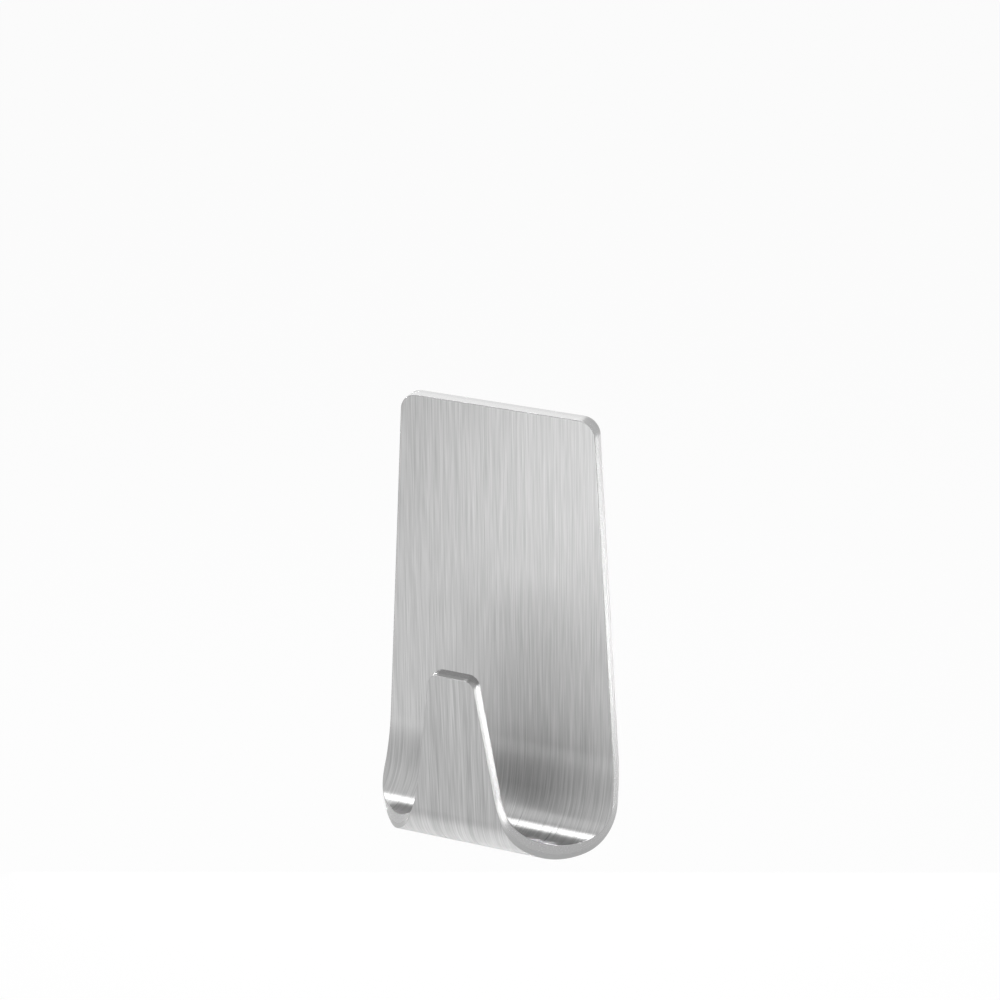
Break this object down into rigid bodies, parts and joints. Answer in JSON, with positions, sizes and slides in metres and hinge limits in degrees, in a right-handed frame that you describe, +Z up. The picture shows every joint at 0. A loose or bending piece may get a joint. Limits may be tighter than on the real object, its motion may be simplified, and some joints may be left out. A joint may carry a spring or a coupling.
{
  "type": "adhesive wall hook",
  "caption": "Wall hook folded from a tapered brushed steel sheet, with a rounded upturned tongue to hang things on and a thin adhesive pad behind its plate.",
  "frame": {"origin": "middle of the adhesive pad's back face, on the wall", "axes": "+Z up the plate, +Y into the wall, +X to the right of someone who faces the hook"},
  "size_m": [0.026, 0.0138, 0.0462],
  "materials": {
    "brushed_sheet": "fine brushed grain along the sheet, cut edges polished bright",
    "tape": "matt pale foam tape, tacky face"
  },
  "bodies": {
    "root": {"steel_hook": "brushed_sheet", "adhesive_pad": "tape"}
  },
  "joints": []
}
